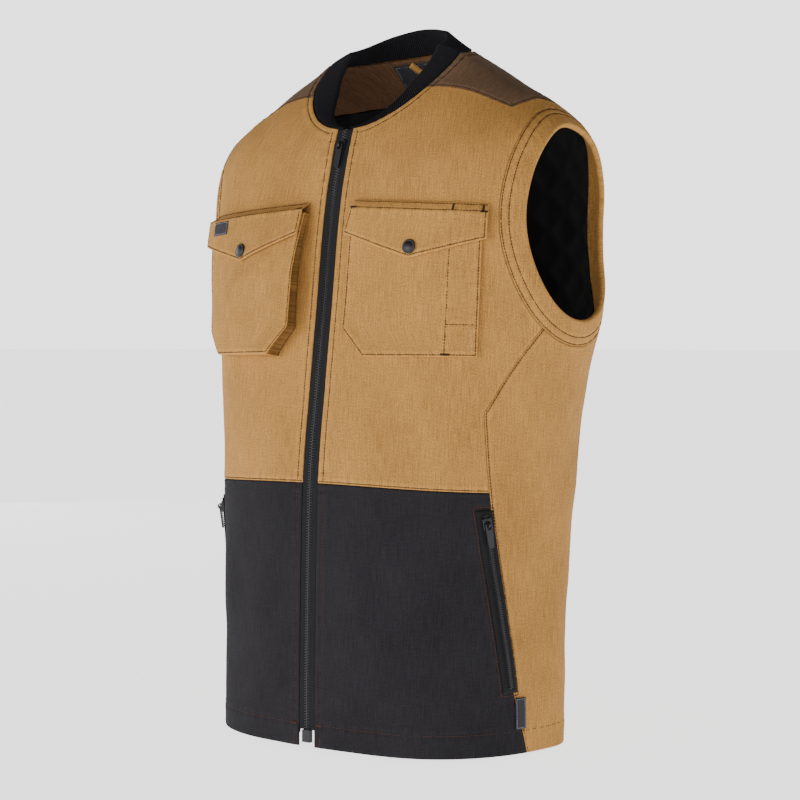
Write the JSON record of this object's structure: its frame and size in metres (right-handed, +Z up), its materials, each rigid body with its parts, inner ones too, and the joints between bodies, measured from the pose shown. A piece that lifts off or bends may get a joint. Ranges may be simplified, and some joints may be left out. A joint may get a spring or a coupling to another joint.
{
  "type": "utility work vest",
  "caption": "Sleeveless canvas work vest in its worn form: quilted lining, rib collar, full-length zip, flapped chest pockets and zipped side pockets.",
  "frame": {"origin": "midway between the two shoulder ridges beside the neck, at side-neck height, where the vest hangs on its wearer", "axes": "+Z up, the front faces -Y, the wearer's left is +X"},
  "size_m": [0.4504, 0.2652, 0.7413],
  "materials": {
    "tan_canvas": "matt brushed cotton canvas",
    "black_canvas": "matt brushed cotton canvas",
    "brown_canvas": "matt brushed cotton canvas",
    "quilted_lining": "soft quilted lining",
    "rib_knit": "rib knit",
    "zip_tape": "woven zip tape",
    "woven_label": "woven satin label",
    "red_tab": "woven tab",
    "dark_metal": "gunmetal"
  },
  "bodies": {
    "vest": {"front_upper_left": "tan_canvas", "front_upper_right": "tan_canvas", "front_lower_left": "black_canvas", "front_lower_right": "black_canvas", "side_panel_left": "tan_canvas", "side_panel_right": "tan_canvas", "back_panel": "tan_canvas", "shoulder_yoke_left": "brown_canvas", "shoulder_yoke_right": "brown_canvas", "armhole_band_left": "tan_canvas", "armhole_band_right": "tan_canvas", "lining_front_left": "quilted_lining", "lining_front_right": "quilted_lining", "lining_back": "quilted_lining", "back_neck_facing": "brown_canvas", "collar_rib": "rib_knit", "front_zip_tape_left": "zip_tape", "front_zip_tape_right": "zip_tape", "front_zip_chain": "dark_metal", "zip_bottom_box": "dark_metal", "front_zip_slider": "dark_metal", "chest_pocket_left": "tan_canvas", "chest_pocket_right": "tan_canvas", "chest_flap_left": "tan_canvas", "chest_flap_right": "tan_canvas", "snap_left": "dark_metal", "snap_right": "dark_metal", "flap_label": "woven_label", "pocket_zip_tape_left": "zip_tape", "pocket_zip_chain_left": "dark_metal", "pocket_zip_left_slider": "dark_metal", "pocket_zip_tape_right": "zip_tape", "pocket_zip_chain_right": "dark_metal", "pocket_zip_right_slider": "dark_metal", "neck_label": "woven_label", "hanger_loop": "tan_canvas", "size_tab": "red_tab", "hem_tag": "woven_label"},
    "front_pull_tab": {"front_zip_puller": "dark_metal"},
    "left_pocket_pull_tab": {"pocket_zip_left_puller": "dark_metal"},
    "right_pocket_pull_tab": {"pocket_zip_right_puller": "dark_metal"}
  },
  "joints": [
    {"name": "front_pull_tab_swing", "type": "hinge", "parent": "vest", "child": "front_pull_tab", "pos_m": [0, -0.08884, -0.09578], "axis": [-1, 0, 0], "range_deg": [0, 150]},
    {"name": "left_pocket_pull_tab_swing", "type": "hinge", "parent": "vest", "child": "left_pocket_pull_tab", "pos_m": [0.17692, -0.07683, -0.47215], "axis": [-0.512, -0.8414, -0.173], "range_deg": [0, 150]},
    {"name": "right_pocket_pull_tab_swing", "type": "hinge", "parent": "vest", "child": "right_pocket_pull_tab", "pos_m": [-0.17677, -0.07678, -0.47214], "axis": [-0.5202, 0.8364, 0.1725], "range_deg": [0, 150]}
  ]
}
